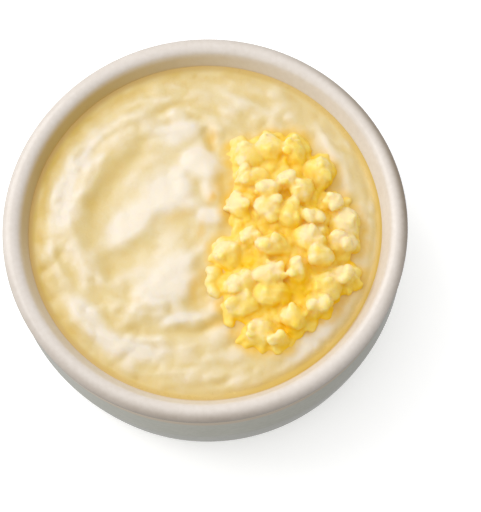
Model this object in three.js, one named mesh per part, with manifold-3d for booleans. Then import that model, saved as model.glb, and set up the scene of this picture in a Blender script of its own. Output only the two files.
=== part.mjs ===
// A mashed potato side: a small glazed stoneware bowl, filled nearly to the lip with spooned mash,
// with a loose heap of buttery crumble on its right half.
//
// Millimetres, +Z up. The bowl's axis is the Z axis, and its foot stands on Z = 0.

import * as THREE from 'three';
import { mergeVertices } from 'three/addons/utils/BufferGeometryUtils.js';
import Module from 'manifold-3d';

const { degToRad, smoothstep } = THREE.MathUtils;

// ---- Bowl ----

const BOWL_RADIUS = 60;
const BOWL_HEIGHT = 45;
const BOWL_SEGMENTS = 56;

const LIP_HALF_WIDTH = 2.75; // of the oval roll that ends the wall
const LIP_HALF_HEIGHT = 2.25;
const LIP_START = -56; // degrees round the roll, from the neck below it
const LIP_END = 155; // degrees, where the inner bevel leaves it
const LIP_STEPS = 7;

const NECK_RADIUS = 58.9; // the narrow line under the lip
const NECK_LEVEL = 40;
const WALL_RADIUS = 59.5;
const WALL_TOP = 37;
const WALL_STEPS = 3;
const TAPER_TOP = 23.5; // below this level the wall draws in
const TAPER = 3.4;
const TAPER_POWER = 1.3;

const HEEL_RADIUS = 3.6;
const HEEL_END = -12; // degrees, where the heel meets the wall
const HEEL_STEPS = 3;
const UNDERSIDE = 1.6;
const FOOT_OUTER = 47.5;
const FOOT_INNER = 42;
const FOOT_CHAMFER = 1.2;

const WELL_TOP = 38.6; // level where the inner bevel turns down into the well
const WELL_FLOOR = 7;
const WELL_POWER = 4; // how square the well's corner is
const WELL_STEPS = 6;

// ---- Mash ----

const GAP = 0.3; // between pieces that touch
const EDGE_LEVEL = 39.4; // where the mash meets the bevel
const MASH_SEGMENTS = 76;
const MASH_RINGS = 18;
const MASH_SEED = 41;
const EDGE_FADE = 4; // the relief dies out over this width at the edge

const SHOULDER = { rise: 0.9, inner: 44, outer: 51 };
const MOUND = { rise: 1.2, inner: 18, outer: 43 };

// The spoon's hollow: deepest at the left, its floor rises to the right.
const SCOOP = { x: -12, y: 7, inner: 17, outer: 27, depth: 1.7, deepest: -30, shallowest: 0 };

// A ridge runs through its points. left and right are the widths of its flanks, seen along that run.
const RIDGES = {
  crest: {
    points: [
      [-12, 34.5], [-17, 32.8], [-21.3, 29.8], [-24.8, 25.8], [-28.6, 21], [-33, 16],
      [-36.2, 11.5], [-38.6, 6], [-39, 0], [-37.2, -6.5], [-33.5, -11.5], [-28.5, -16], [-22, -18],
    ],
    rise: 1.25,
    left: 3.4,
    right: 4.4,
  },
  middleFold: {
    points: [[-30, -5.5], [-25, -2.5], [-20, 1], [-15.5, 4.8], [-9, 7], [-2, 6.5], [4, 5.5]],
    rise: 1.15,
    left: 5.5,
    right: 2.6,
  },
  lowerFlap: {
    points: [[-26, -24.5], [-19, -25.5], [-13, -24.5], [-8, -22], [-5.5, -17], [-4.5, -11], [-1, -7.5]],
    rise: 0.7,
    left: 5,
    right: 2.2,
  },
  finger: {
    points: [[-15, -30], [-10, -28.8], [-5, -28], [1, -27.5], [6, -28.6]],
    rise: 0.9,
    left: 2.2,
    right: 1.5,
  },
  diagonal: {
    points: [[-6.5, -13.5], [-1.5, -9], [3, -5.8]],
    rise: 0.6,
    left: 2,
    right: 1.6,
  },
  lowerGroove: {
    points: [[-42.6, -1], [-41.8, -6], [-39.8, -11], [-37, -17], [-33, -22], [-27, -27]],
    rise: -0.65,
    left: 1.8,
    right: 2.2,
  },
  underFlap: {
    points: [[-29, -27.6], [-22, -30], [-14, -31.6], [-8, -31.8], [-2, -30.6], [3, -30]],
    rise: -0.6,
    left: 1.2,
    right: 1.4,
  },
  outerLower: {
    points: [[-42, -18], [-38.5, -25], [-34, -30.5], [-28, -34.5], [-20, -36]],
    rise: 0.55,
    left: 2.2,
    right: 2.6,
  },
  topFold: {
    points: [[4, 42.8], [13, 39.8], [21, 35.8], [31, 28.5]],
    rise: 0.35,
    left: 1.6,
    right: 2.6,
  },
  rightRope: {
    points: [[33.5, 31.5], [39, 25.5], [42.2, 18], [45.5, 10.5]],
    rise: 0.4,
    left: 2.4,
    right: 2,
  },
  lowerRight: {
    points: [[37.5, -27.5], [31.5, -32.6], [25.5, -37.4], [14, -41.4]],
    rise: 0.7,
    left: 2.2,
    right: 2.4,
  },
};
const RIDGE_STEPS = 24;
const RIDGE_TAPER = 0.22; // share of the run over which a ridge rises from its ends

// Round-topped lumps and, with a negative rise, dips. turn is in degrees.
const LUMPS = {
  nose: { x: 1.6, y: 18.6, length: 6, width: 4.4, turn: -28, rise: 1.5 },
  noseTail: { x: 2.3, y: 12.2, length: 5.6, width: 2.8, turn: 98, rise: 1.1 },
  besideNose: { x: -5.8, y: 13.6, length: 4.2, width: 2.6, turn: 105, rise: 0.6 },
  terrace: { x: -6.5, y: 30, length: 8.4, width: 4.6, turn: -6, rise: 0.55 },
  topRight: { x: 6.2, y: 32.4, length: 4.4, width: 2.8, turn: -25, rise: 0.7 },
  notch: { x: 3.8, y: 26.5, length: 3.6, width: 1.8, turn: 105, rise: -1.1 },
  oval: { x: 1.6, y: 2.6, length: 4.6, width: 2.5, turn: 0, rise: 1.3 },
  lowerScoop: { x: -25, y: -8.5, length: 6.5, width: 4.5, turn: 70, rise: -0.6 },
  lowerLit: { x: -10, y: -9, length: 7.5, width: 5, turn: 60, rise: 0.5 },
  flapTop: { x: -14, y: -20, length: 9.5, width: 4.6, turn: 14, rise: 0.7 },
  hole: { x: 2, y: -29.8, length: 3.2, width: 1.6, turn: 5, rise: -0.7 },
  rightRing: { x: 47.6, y: 2.6, length: 4.6, width: 1.6, turn: 98, rise: 0.4 },
};

// Low swellings that run round the bowl, as the back of a spoon leaves them.
const SWELLS = { count: 70, length: [3, 8], width: [1.5, 3], rise: [-0.35, 0.45] };

// ---- Crumble ----

// The smaller core that the clusters stand on.
const CORE = { x: 23.5, y: -6, halfWidth: 17, halfDepth: 27, rise: 3, segments: 14, rings: 8 };

const CRUMBLE_SEED = 7;
const NODULES = 2; // on each cluster
const NODULE_RADIUS = [1.6, 2.6];
const CLUSTER_RISE = [3.4, 5]; // above what the cluster stands on
const CLUSTER_BODY = 1.16; // size of a cluster's one large curd, which overlaps its neighbours
const ROUGHNESS = 0.1; // how far a curd's corners stray from an ellipsoid

// Clusters of curds: x, y, half width, half depth.
const CLUSTERS = [
  [14, 21.5, 5.5, 5], [21, 23.3, 4.8, 4.2], [28, 21.5, 4, 5.5], [15, 14, 5, 3],
  [34.5, 14, 4.4, 5.2], [19.3, 9.3, 4, 3.6], [25.5, 11.3, 4, 3.4], [29.8, 8.3, 3.6, 4],
  [20, 3.2, 4.6, 4.2], [25.8, 1.4, 4, 4.2], [10.6, 5, 3.8, 5], [38.6, 4.3, 3.2, 3.2],
  [41.6, -2.6, 4.2, 5], [40, -8.8, 4.6, 3.6], [32.4, -0.6, 3, 2.6], [31, -6.8, 5, 4.2],
  [33.6, -12, 3.6, 4], [6, -9.6, 4.4, 5], [12.6, -5, 3.2, 3], [19.6, -8.3, 5, 3.6], [10, -19, 6, 3.6],
  [18, -16.8, 5, 3.6], [10, -25, 5.5, 4], [18.4, -22.8, 4.6, 4.2], [26.3, -16.8, 3.2, 4.2],
  [40, -18.8, 4, 3], [34, -21.6, 5, 4.6], [31.6, -27.2, 4, 3], [24.6, -30.2, 4.4, 3.6],
  [13.8, -34, 5, 4.6], [19.6, -36.6, 3, 2.6],
];

// ---- Materials ----

const STONEWARE = new THREE.MeshStandardMaterial({ color: 0xe9dfd3, roughness: 0.3, metalness: 0 });
const MASH = new THREE.MeshStandardMaterial({ color: 0xf3e4ba, roughness: 0.5, metalness: 0 });
const CRUMBLE = new THREE.MeshStandardMaterial({ color: 0xf7d662, roughness: 0.45, metalness: 0 });

// ---- Helpers ----

// A repeatable stream of draws between low and high.
function makeRandom(seed) {
  let state = seed;
  return (low, high) => {
    state = (state * 16807) % 2147483647;
    return low + ((high - low) * state) / 2147483647;
  };
}

function indexedGeometry(positions, indices) {
  const geometry = new THREE.BufferGeometry();
  geometry.setAttribute('position', new THREE.Float32BufferAttribute(positions, 3));
  geometry.setIndex(indices);
  return geometry;
}

function namedMesh(name, geometry, material) {
  geometry.computeVertexNormals();
  const mesh = new THREE.Mesh(geometry, material);
  mesh.name = name;
  return mesh;
}

// ---- Bowl shape ----

function wallRadius(level) {
  const drop = Math.max(TAPER_TOP - level, 0) / TAPER_TOP;
  return WALL_RADIUS - TAPER * drop ** TAPER_POWER;
}

// Points of the well's side from its top edge to the middle of its floor, moved inwards by the offset.
function wellProfile(topRadius, offset) {
  const depth = WELL_TOP - WELL_FLOOR - offset;
  const points = [];
  for (let i = 0; i <= WELL_STEPS; i += 1) {
    const angle = (Math.PI / 2) * (i / WELL_STEPS);
    const radius = (topRadius - offset) * Math.max(Math.cos(angle), 0) ** (2 / WELL_POWER);
    const level = WELL_TOP - depth * Math.sin(angle) ** (2 / WELL_POWER);
    points.push([radius, level]);
  }
  points[WELL_STEPS][0] = 0;
  return points;
}

// Radius and level of a point on the lip's roll.
function lipPoint(degrees) {
  const angle = degToRad(degrees);
  return [
    BOWL_RADIUS - LIP_HALF_WIDTH + LIP_HALF_WIDTH * Math.cos(angle),
    BOWL_HEIGHT - LIP_HALF_HEIGHT + LIP_HALF_HEIGHT * Math.sin(angle),
  ];
}

// How far the inner bevel runs inward for each mm that it drops. It leaves the lip's roll as its tangent.
const BEVEL_SLOPE = -(LIP_HALF_WIDTH / LIP_HALF_HEIGHT) * Math.tan(degToRad(LIP_END));

// Radius of the inner bevel at a level.
function bevelRadius(level) {
  const [startRadius, startLevel] = lipPoint(LIP_END);
  return startRadius - (startLevel - level) * BEVEL_SLOPE;
}

function buildBowl() {
  const profile = [
    [0, UNDERSIDE],
    [FOOT_INNER - FOOT_CHAMFER, UNDERSIDE],
    [FOOT_INNER, 0],
    [FOOT_OUTER - FOOT_CHAMFER, 0],
    [FOOT_OUTER, UNDERSIDE],
  ];
  const heelLevel = UNDERSIDE + HEEL_RADIUS;
  const heelTop = heelLevel + HEEL_RADIUS * Math.sin(degToRad(HEEL_END));
  const heelMiddle = wallRadius(heelTop) - HEEL_RADIUS * Math.cos(degToRad(HEEL_END));
  for (let i = 0; i <= HEEL_STEPS; i += 1) {
    const angle = degToRad(-90 + ((HEEL_END + 90) * i) / HEEL_STEPS);
    profile.push([heelMiddle + HEEL_RADIUS * Math.cos(angle), heelLevel + HEEL_RADIUS * Math.sin(angle)]);
  }
  for (let i = 1; i <= WALL_STEPS; i += 1) {
    const level = heelTop + ((WALL_TOP - heelTop) * i) / WALL_STEPS;
    profile.push([wallRadius(level), level]);
  }
  profile.push([NECK_RADIUS, NECK_LEVEL]);
  for (let i = 0; i <= LIP_STEPS; i += 1) {
    profile.push(lipPoint(LIP_START + ((LIP_END - LIP_START) * i) / LIP_STEPS));
  }
  profile.push(...wellProfile(bevelRadius(WELL_TOP), 0));

  const outline = profile.map(([radius, level]) => new THREE.Vector2(radius, level));
  const geometry = new THREE.LatheGeometry(outline, BOWL_SEGMENTS);
  geometry.rotateX(Math.PI / 2);
  return namedMesh('bowl', geometry, STONEWARE);
}

// ---- Mash shape ----

function spline(points) {
  const curve = new THREE.SplineCurve(points.map(([x, y]) => new THREE.Vector2(x, y)));
  return curve.getPoints(RIDGE_STEPS);
}

// Distance from a place to the nearest stretch of a path, the share of the run there, and its side.
function nearest(path, x, y) {
  let best = { distance: Infinity, share: 0, side: 1 };
  for (let i = 0; i < RIDGE_STEPS; i += 1) {
    const runX = path[i + 1].x - path[i].x;
    const runY = path[i + 1].y - path[i].y;
    const towardX = x - path[i].x;
    const towardY = y - path[i].y;
    const along = (towardX * runX + towardY * runY) / (runX * runX + runY * runY);
    const step = THREE.MathUtils.clamp(along, 0, 1);
    const distance = Math.hypot(towardX - step * runX, towardY - step * runY);
    if (distance < best.distance) {
      const side = runX * towardY - runY * towardX > 0 ? 1 : -1;
      best = { distance, share: (i + step) / RIDGE_STEPS, side };
    }
  }
  return best;
}

function ridgeRise(ridge, x, y) {
  const { distance, share, side } = nearest(ridge.path, x, y);
  const width = side > 0 ? ridge.left : ridge.right;
  const taper = smoothstep(Math.min(share, 1 - share), 0, RIDGE_TAPER);
  return ridge.rise * taper * Math.exp(-((distance / width) ** 2));
}

// The square of how far a place lies from a lump's middle, in units of the lump's own size.
function lumpSpan(lump, x, y) {
  const cos = Math.cos(degToRad(lump.turn));
  const sin = Math.sin(degToRad(lump.turn));
  const along = ((x - lump.x) * cos + (y - lump.y) * sin) / lump.length;
  const across = ((y - lump.y) * cos - (x - lump.x) * sin) / lump.width;
  return along * along + across * across;
}

function makeSwells() {
  const random = makeRandom(MASH_SEED);
  const swells = [];
  for (let i = 0; i < SWELLS.count; i += 1) {
    const angle = random(0, 360);
    const radius = (mashRadius - EDGE_FADE) * Math.sqrt(random(0, 1));
    swells.push({
      x: radius * Math.cos(degToRad(angle)),
      y: radius * Math.sin(degToRad(angle)),
      turn: angle + 90,
      length: random(...SWELLS.length),
      width: random(...SWELLS.width),
      rise: random(...SWELLS.rise),
    });
  }
  return swells;
}

// The mash stops a gap short of the bevel.
const mashRadius = bevelRadius(EDGE_LEVEL) - GAP * Math.hypot(1, BEVEL_SLOPE);
const ridges = Object.values(RIDGES).map((ridge) => ({ ...ridge, path: spline(ridge.points) }));
const lumps = Object.values(LUMPS);
const swells = makeSwells();

function mashLevel(x, y) {
  const radius = Math.hypot(x, y);
  const shoulder = SHOULDER.rise * (1 - smoothstep(radius, SHOULDER.inner, SHOULDER.outer));
  const mound = MOUND.rise * (1 - smoothstep(radius, MOUND.inner, MOUND.outer));
  const scoopEdge = 1 - smoothstep(Math.hypot(x - SCOOP.x, y - SCOOP.y), SCOOP.inner, SCOOP.outer);
  const scoopFloor = 1 - smoothstep(x, SCOOP.deepest, SCOOP.shallowest);
  let relief = -SCOOP.depth * scoopEdge * scoopFloor;
  for (const ridge of ridges) relief += ridgeRise(ridge, x, y);
  for (const lump of lumps) relief += lump.rise * Math.exp(-(lumpSpan(lump, x, y) ** 2));
  for (const swell of swells) relief += swell.rise * Math.exp(-lumpSpan(swell, x, y));
  const fade = 1 - smoothstep(radius, mashRadius - EDGE_FADE, mashRadius);
  return EDGE_LEVEL + shoulder + mound + relief * fade;
}

// Rings of points from the middle of the top, out to the edge and back under to the middle.
function buildMashGeometry() {
  const positions = [0, 0, mashLevel(0, 0)];
  const sides = [];
  for (let i = 1; i <= MASH_RINGS; i += 1) sides.push([(mashRadius * i) / MASH_RINGS, null]);
  const well = wellProfile(bevelRadius(WELL_TOP), GAP);
  sides.push(...well.slice(0, -1));
  for (const [radius, level] of sides) {
    for (let k = 0; k < MASH_SEGMENTS; k += 1) {
      const angle = (2 * Math.PI * k) / MASH_SEGMENTS;
      const x = radius * Math.cos(angle);
      const y = radius * Math.sin(angle);
      positions.push(x, y, level ?? mashLevel(x, y));
    }
  }
  positions.push(0, 0, well[WELL_STEPS][1]);

  const indices = [];
  const last = positions.length / 3 - 1;
  const lastRing = last - MASH_SEGMENTS;
  for (let k = 0; k < MASH_SEGMENTS; k += 1) {
    const next = (k + 1) % MASH_SEGMENTS;
    indices.push(0, 1 + k, 1 + next);
    indices.push(last, lastRing + next, lastRing + k);
    for (let ring = 0; ring < sides.length - 1; ring += 1) {
      const inner = 1 + ring * MASH_SEGMENTS;
      const outer = inner + MASH_SEGMENTS;
      indices.push(inner + k, outer + k, outer + next);
      indices.push(inner + k, outer + next, inner + next);
    }
  }
  return indexedGeometry(positions, indices);
}

// ---- Crumble shape ----

// A closed geometry with its shared corners merged, as a solid that can be joined and cut.
function solidOf(wasm, geometry) {
  const bare = geometry.clone();
  bare.deleteAttribute('normal');
  bare.deleteAttribute('uv');
  const merged = mergeVertices(bare, 1e-4);
  return new wasm.Manifold(new wasm.Mesh({
    numProp: 3,
    vertProperties: new Float32Array(merged.attributes.position.array),
    triVerts: new Uint32Array(merged.index.array),
  }));
}

function geometryOf(solid) {
  const mesh = solid.getMesh();
  return indexedGeometry(Array.from(mesh.vertProperties), Array.from(mesh.triVerts));
}

// A lumpy ellipsoid: each corner of a divided icosahedron strays in or out by a seeded amount.
function curdGeometry(random, detail, place, size) {
  const bare = new THREE.IcosahedronGeometry(1, detail);
  bare.deleteAttribute('normal');
  bare.deleteAttribute('uv');
  const geometry = mergeVertices(bare, 1e-4);
  const corners = geometry.attributes.position;
  for (let i = 0; i < corners.count; i += 1) {
    const stray = 1 + random(-ROUGHNESS, ROUGHNESS);
    corners.setXYZ(i, corners.getX(i) * stray, corners.getY(i) * stray, corners.getZ(i) * stray);
  }
  geometry.rotateZ(random(0, Math.PI));
  geometry.scale(...size);
  geometry.translate(...place);
  return geometry;
}

function coreGeometry() {
  const geometry = new THREE.SphereGeometry(1, CORE.segments, CORE.rings);
  geometry.rotateX(Math.PI / 2);
  geometry.scale(CORE.halfWidth, CORE.halfDepth, CORE.rise);
  geometry.translate(CORE.x, CORE.y, mashLevel(CORE.x, CORE.y));
  return geometry;
}

// Level that a cluster stands on: the core's dome, or the mash beyond it.
function heapGround(x, y) {
  const span = ((x - CORE.x) / CORE.halfWidth) ** 2 + ((y - CORE.y) / CORE.halfDepth) ** 2;
  const dome = mashLevel(CORE.x, CORE.y) + CORE.rise * Math.sqrt(Math.max(1 - span, 0));
  return Math.max(dome, mashLevel(x, y));
}

// One large curd with smaller nodules on its flank.
function clusterGeometries(random, [x, y, halfWidth, halfDepth]) {
  const ground = heapGround(x, y);
  const rise = random(...CLUSTER_RISE);
  const body = [halfWidth * CLUSTER_BODY, halfDepth * CLUSTER_BODY, rise];
  const geometries = [curdGeometry(random, 1, [x, y, ground], body)];
  for (let i = 0; i < NODULES; i += 1) {
    const angle = (2 * Math.PI * (i + random(0, 1))) / NODULES;
    const reach = random(0.35, 0.75);
    const radius = random(...NODULE_RADIUS);
    const level = ground + rise * Math.sqrt(1 - reach ** 2) - radius / 2;
    const place = [x + halfWidth * reach * Math.cos(angle), y + halfDepth * reach * Math.sin(angle), level];
    geometries.push(curdGeometry(random, 0, place, [radius, radius, radius]));
  }
  return geometries;
}

async function buildCrumbleGeometry(mashGeometry) {
  const wasm = await Module();
  wasm.setup();
  const random = makeRandom(CRUMBLE_SEED);
  const pieces = [coreGeometry()];
  for (const cluster of CLUSTERS) pieces.push(...clusterGeometries(random, cluster));
  const heap = wasm.Manifold.union(pieces.map((piece) => solidOf(wasm, piece)));
  const raisedMash = solidOf(wasm, mashGeometry).translate([0, 0, GAP]);
  const parts = heap.subtract(raisedMash).decompose();
  parts.sort((a, b) => b.volume() - a.volume());
  return geometryOf(parts[0]);
}

// ---- Assembly ----

const mashGeometry = buildMashGeometry();
const side = new THREE.Group();
side.add(buildBowl());
side.add(namedMesh('mash', mashGeometry, MASH));
side.add(namedMesh('crumble', await buildCrumbleGeometry(mashGeometry), CRUMBLE));

export default side;
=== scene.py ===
"""Looks of a mashed potato side: a small stoneware bowl of spooned mash with a heap of buttery crumble.

+Z is up, and the bowl's foot and axis are at the origin. Shapes are worked out in millimetres and scaled by
MM when a mesh is made, because Blender's unit is the metre.
"""
import math

import bmesh
import bpy
import numpy as np
from mathutils import Matrix, Vector


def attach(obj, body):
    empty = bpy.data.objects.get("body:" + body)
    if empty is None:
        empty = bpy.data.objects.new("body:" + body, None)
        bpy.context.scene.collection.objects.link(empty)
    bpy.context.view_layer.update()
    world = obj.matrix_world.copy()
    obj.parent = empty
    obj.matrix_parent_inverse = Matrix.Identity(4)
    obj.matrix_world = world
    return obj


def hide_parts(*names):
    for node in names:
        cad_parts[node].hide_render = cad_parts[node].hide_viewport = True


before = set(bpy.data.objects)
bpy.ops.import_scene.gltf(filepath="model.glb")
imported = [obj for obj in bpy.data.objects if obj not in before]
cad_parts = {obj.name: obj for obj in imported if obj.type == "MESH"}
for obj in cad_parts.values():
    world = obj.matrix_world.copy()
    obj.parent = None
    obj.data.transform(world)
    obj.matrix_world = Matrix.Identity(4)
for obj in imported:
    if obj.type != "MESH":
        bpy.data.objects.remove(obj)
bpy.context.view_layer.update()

MM = 0.001

# ---- Camera and light, in mm and pixels ----

CAMERA_DISTANCE = 550
CAMERA_ELEVATION = 71.76  # degrees
CAMERA_ROLL = -4
CAMERA_NEAR = 10  # what is nearer than this isn't drawn
FRAME_WIDTH, FRAME_HEIGHT = 481, 512
FOCAL_PIXELS = 1856.9
LIP_PIXEL = (204.6, 225)  # where the middle of the lip's widest circle lies in the frame
SENSOR = 36

KEY_LIGHT = {"place": (-950, 620, 1100), "size": 1230, "power": 9.9, "colour": (1, 0.98, 0.95)}
WORLD_STRENGTH = (0.29, 1.06)  # opposite the studio's brightest part, and at it
WORLD_BRIGHTEST = (-0.55, 0.4, 0.73)  # direction of that part
LIT_FROM = (-0.8, 0.6)  # level direction of the key light; the food's colour is painted yellower in its lee, as painted shade
FLOOR_SIZE = 2400
FLOOR_COLOUR = (0.95, 0.95, 0.95, 1)
WHITE = (1, 1, 1, 1)
FLOOR_GLOW = 0.33  # as the photo's floor is paler than this light alone would leave it

# ---- Bowl, in mm ----

BOWL_RADIUS, BOWL_HEIGHT = 60, 45
LIP_HALF_WIDTH, LIP_HALF_HEIGHT = 2.75, 2.25
LIP_MIDDLE = (BOWL_RADIUS - LIP_HALF_WIDTH, BOWL_HEIGHT - LIP_HALF_HEIGHT)  # radius and level
LIP_START, LIP_TOP, LIP_END = -56, 90, 155  # degrees round the lip's roll, from straight outwards
# How far the inner bevel runs inward for each mm that it drops, as the tangent of the lip's roll.
BEVEL_SLOPE = -LIP_HALF_WIDTH / LIP_HALF_HEIGHT * math.tan(math.radians(LIP_END))
WALL_RADIUS, WALL_TOP = 59.5, 37
TAPER_TOP, TAPER, TAPER_POWER = 23.5, 3.4, 1.3
HEEL_RADIUS, HEEL_END = 3.6, -12  # the heel's roll ends at this angle, in degrees
UNDERSIDE = 1.6
# Radius and level along the foot ring, from under the middle of the bowl outwards.
FOOT_OUTLINE = (
    (0, UNDERSIDE), (39.6, UNDERSIDE), (41.4, 1.12), (42, 0.32), (42.6, 0), (46.3, 0), (47.1, 0.4),
    (47.5, UNDERSIDE),
)
WELL_TOP, WELL_FLOOR, WELL_POWER = 38.6, 7, 4
BOWL_SEGMENTS = 320
PROFILE_STEPS = {"heel": 11, "wall": 25, "neck": 7, "lip": 39, "bevel": 15, "well": 22}
# The glaze inside is tan between these levels as painted shade with a painted yellow reflection of the
# food, most of all on the side turned from the light, which the power makes narrow.
INNER_SHADE = {"levels": (42.3, 44.9), "least": 0.02, "most_at": 138, "power": 3}
# The lip's roll is brown up from its foot, partly as thin glaze and partly as painted shade, and this fades
# out between these degrees of it.
THIN_GLAZE_AND_SHADE = (40, 105)
# How much of that there is at degrees round the bowl, with the painted shade most on the side turned from
# the light.
THIN_AND_SHADE_ROUND = (
    (-180, 0.1), (-135, 0.5), (-90, 0.65), (-60, 0.25), (-35, 0.1), (0, 0.95), (15, 1), (45, 0.75),
    (70, 0.3), (90, 0.2), (180, 0.1),
)
# Food dried on the glaze, partly painted shade where the food meets it on the sheltered side, fades out
# between these levels, just above the mash's edge.
FOOD_LINE = {"levels": (39.6, 40.5), "most": 0.8}
# Melted butter on it fades out between these, and at the spread to either side of an angle.
BUTTER_FILM = {"levels": (39.9, 41.4), "most_at": -62, "spread": 62}
THROWN_WOBBLE = 0.12  # how far the wall strays from round
WOBBLE_WAVES = ((2, 0.6, 1), (3, 2.1, 0.5), (5, 0, 0.25))  # number round the bowl, turn, share

# ---- Mash, in mm ----

EDGE_LEVEL = 39.4
SWELL_MARGIN = 4  # the middles of the swells keep this far from the edge
RELIEF_FADE = 2.4  # relief fades out over this width at the edge
GAP = 0.3  # between the solids
MASH_SEED = 41
SHOULDER = {"rise": 0.9, "radii": (44, 51)}
MOUND = {"rise": 1.2, "radii": (18, 43)}
SCOOP = {"middle": (-12, 7), "radii": (17, 27), "depth": 1.7, "runs_out": (-30, 0)}  # runs_out is along X
SWELLS = {"count": 70, "length": (3, 8), "width": (1.5, 3), "rise": (-0.35, 0.45)}
SWELL_SHARE = 0.75  # of the solid's swells, as these are softer

# name: points that the ridge runs through, rise, and widths of its left and right flank along that run
RIDGES = {
    "crest": (
        [(-12, 34.5), (-17, 32.8), (-21.3, 29.8), (-24.8, 25.8), (-28.6, 21), (-33, 16), (-36.2, 11.5),
         (-38.6, 6), (-39, 0), (-37.2, -6.5), (-33.5, -11.5), (-28.5, -16), (-22, -18)], 1.25, 3.4, 4.4,
    ),
    "middle_fold": (
        [(-30, -5.5), (-25, -2.5), (-20, 1), (-15.5, 4.8), (-9, 7), (-2, 6.5), (4, 5.5)], 1.15, 5.5, 2.6,
    ),
    "lower_flap": (
        [(-26, -24.5), (-19, -25.5), (-13, -24.5), (-8, -22), (-5.5, -17), (-4.5, -11), (-1, -7.5)],
        0.7, 5, 2.2,
    ),
    "finger": ([(-15, -30), (-10, -28.8), (-5, -28), (1, -27.5), (6, -28.6)], 0.9, 2.2, 1.5),
    "diagonal": ([(-6.5, -13.5), (-1.5, -9), (3, -5.8)], 0.6, 2, 1.6),
    "tongue": ([(-35, -20.8), (-30, -22.6), (-25.5, -23.6)], 0.5, 1.8, 1.8),
    "lower_groove": (
        [(-42.6, -1), (-41.8, -6), (-39.8, -11), (-37, -17), (-33, -22), (-27, -27)], -0.65, 1.8, 2.2,
    ),
    "under_flap": (
        [(-29, -27.6), (-22, -30), (-14, -31.6), (-8, -31.8), (-2, -30.6), (3, -30)], -0.6, 1.2, 1.4,
    ),
    "outer_strand": ([(-46.5, 9), (-46, 0), (-44.5, -9), (-41.5, -17)], 0.4, 1.6, 1.6),
    "outer_lower": ([(-42, -18), (-38.5, -25), (-34, -30.5), (-28, -34.5), (-20, -36)], 0.55, 2.2, 2.6),
    "top_groove": (
        [(-12, 45), (1.4, 45.4), (9, 44.2), (14.6, 42.3), (19.4, 39.5), (25, 36.6)], -0.3, 1.2, 1.2,
    ),
    "top_fold": ([(4, 42.8), (13, 39.8), (21, 35.8), (31, 28.5)], 0.35, 1.6, 2.6),
    "right_rope": ([(33.5, 31.5), (39, 25.5), (42.2, 18), (45.5, 10.5)], 0.4, 2.4, 2),
    "lower_right": ([(37.5, -27.5), (31.5, -32.6), (25.5, -37.4), (14, -41.4)], 0.7, 2.2, 2.4),
}
RIDGE_STEPS = 24
RIDGE_TAPER = 0.22  # share of a ridge's length over which it comes up from either end

# name: x, y, length, width, turn in degrees, rise (a dip has a negative rise)
LUMPS = {
    "nose": (1.6, 18.6, 6, 4.4, -28, 1.5),
    "nose_tail": (2.3, 12.2, 5.6, 2.8, 98, 1.1),
    "beside_nose": (-5.8, 13.6, 4.2, 2.6, 105, 0.6),
    "terrace": (-6.5, 30, 8.4, 4.6, -6, 0.55),
    "top_right": (6.2, 32.4, 4.4, 2.8, -25, 0.7),
    "notch": (3.8, 26.5, 3.6, 1.8, 105, -1.1),
    "oval": (1.6, 2.6, 4.6, 2.5, 0, 1.3),
    "lower_scoop": (-25, -8.5, 6.5, 4.5, 70, -0.6),
    "lower_lit": (-10, -9, 7.5, 5, 60, 0.5),
    "flap_top": (-14, -20, 9.5, 4.6, 14, 0.7),
    "hole": (2, -29.8, 3.2, 1.6, 5, -0.7),
    "right_ring": (47.6, 2.6, 4.6, 1.6, 98, 0.4),
}

# More lumps in the same terms, too small for the solid.
SMALL_LUMPS = [
    (-1.2, 10.6, 4.4, 1.1, 97, -0.29), (-24, -19, 3.6, 1.2, 82, -0.36), (-9.3, 37, 2.6, 1.1, -62, -0.41),
    (-7, 38.8, 2.4, 1.6, 20, 0.28), (-2.4, 37.4, 2.8, 1.3, 84, 0.28), (-15.4, 42, 2.2, 1.1, 30, 0.23),
    (-30, 22.4, 2, 1.2, 45, 0.41), (-35.8, 13.8, 2.2, 1.3, 48, 0.37), (6.6, 29.8, 1.6, 1.4, 0, 0.33),
    (-37.9, -27, 5.2, 1.7, -50, 0.28), (-29, -30.5, 2.4, 1.5, -30, 0.41), (-21.5, -34.8, 5.4, 2, 5, 0.28),
    (-14.3, -35.8, 1.3, 2, 20, 0.28), (-8.6, -36.4, 2.2, 1.7, 30, 0.28), (-24.4, -27.9, 1.7, 1.3, 0, 0.37),
    (4.4, -34.1, 2, 1.5, 60, 0.33), (-1, -38.6, 1.2, 2.3, 0, 0.33), (6.5, -39.9, 2.6, 2, 20, 0.28),
    (9.2, -43.1, 2.2, 1.4, 10, 0.23), (2.3, -43.4, 1.9, 1.6, 0, 0.23), (-0.8, -47, 2.2, 1.2, 0, 0.23),
    (-7, -46, 1.8, 1.3, 0, 0.23), (-13.5, -42.5, 3, 1.5, -10, 0.23), (-21, -41, 3, 1.4, -20, 0.18),
    (-21.2, -19, 4.4, 1.4, 8, 0.23), (-13, -17.8, 4.2, 1.3, 10, 0.23), (-19, -22.8, 4, 1.2, 8, 0.18),
    (33.6, 26, 1.3, 2.8, -30, -0.33), (24.5, 34.4, 2.6, 1.4, -35, 0.23), (12, 40.8, 3.4, 1.4, -14, 0.18),
    (17.8, 33.8, 2.6, 1.6, -10, 0.28), (11, 36.8, 3, 1.6, -12, 0.23), (2, 40.2, 3.4, 1.3, 0, 0.18),
    (48.2, -6.4, 3.4, 1.3, 84, 0.23), (47, -13, 3.2, 1.3, 74, 0.18), (21.5, -40.4, 2.6, 1.8, 20, 0.23),
    (31.2, -32.4, 2.4, 1.8, 42, 0.23), (-42, 12, 3.2, 1.4, 72, 0.23), (-38, 21.5, 3.2, 1.4, 60, 0.23),
    (-31.5, 30, 3.6, 1.5, 42, 0.23), (-23, 36.4, 3.6, 1.5, 30, 0.23), (-43.6, 1.6, 2.8, 1.4, 88, 0.23),
]

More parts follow.
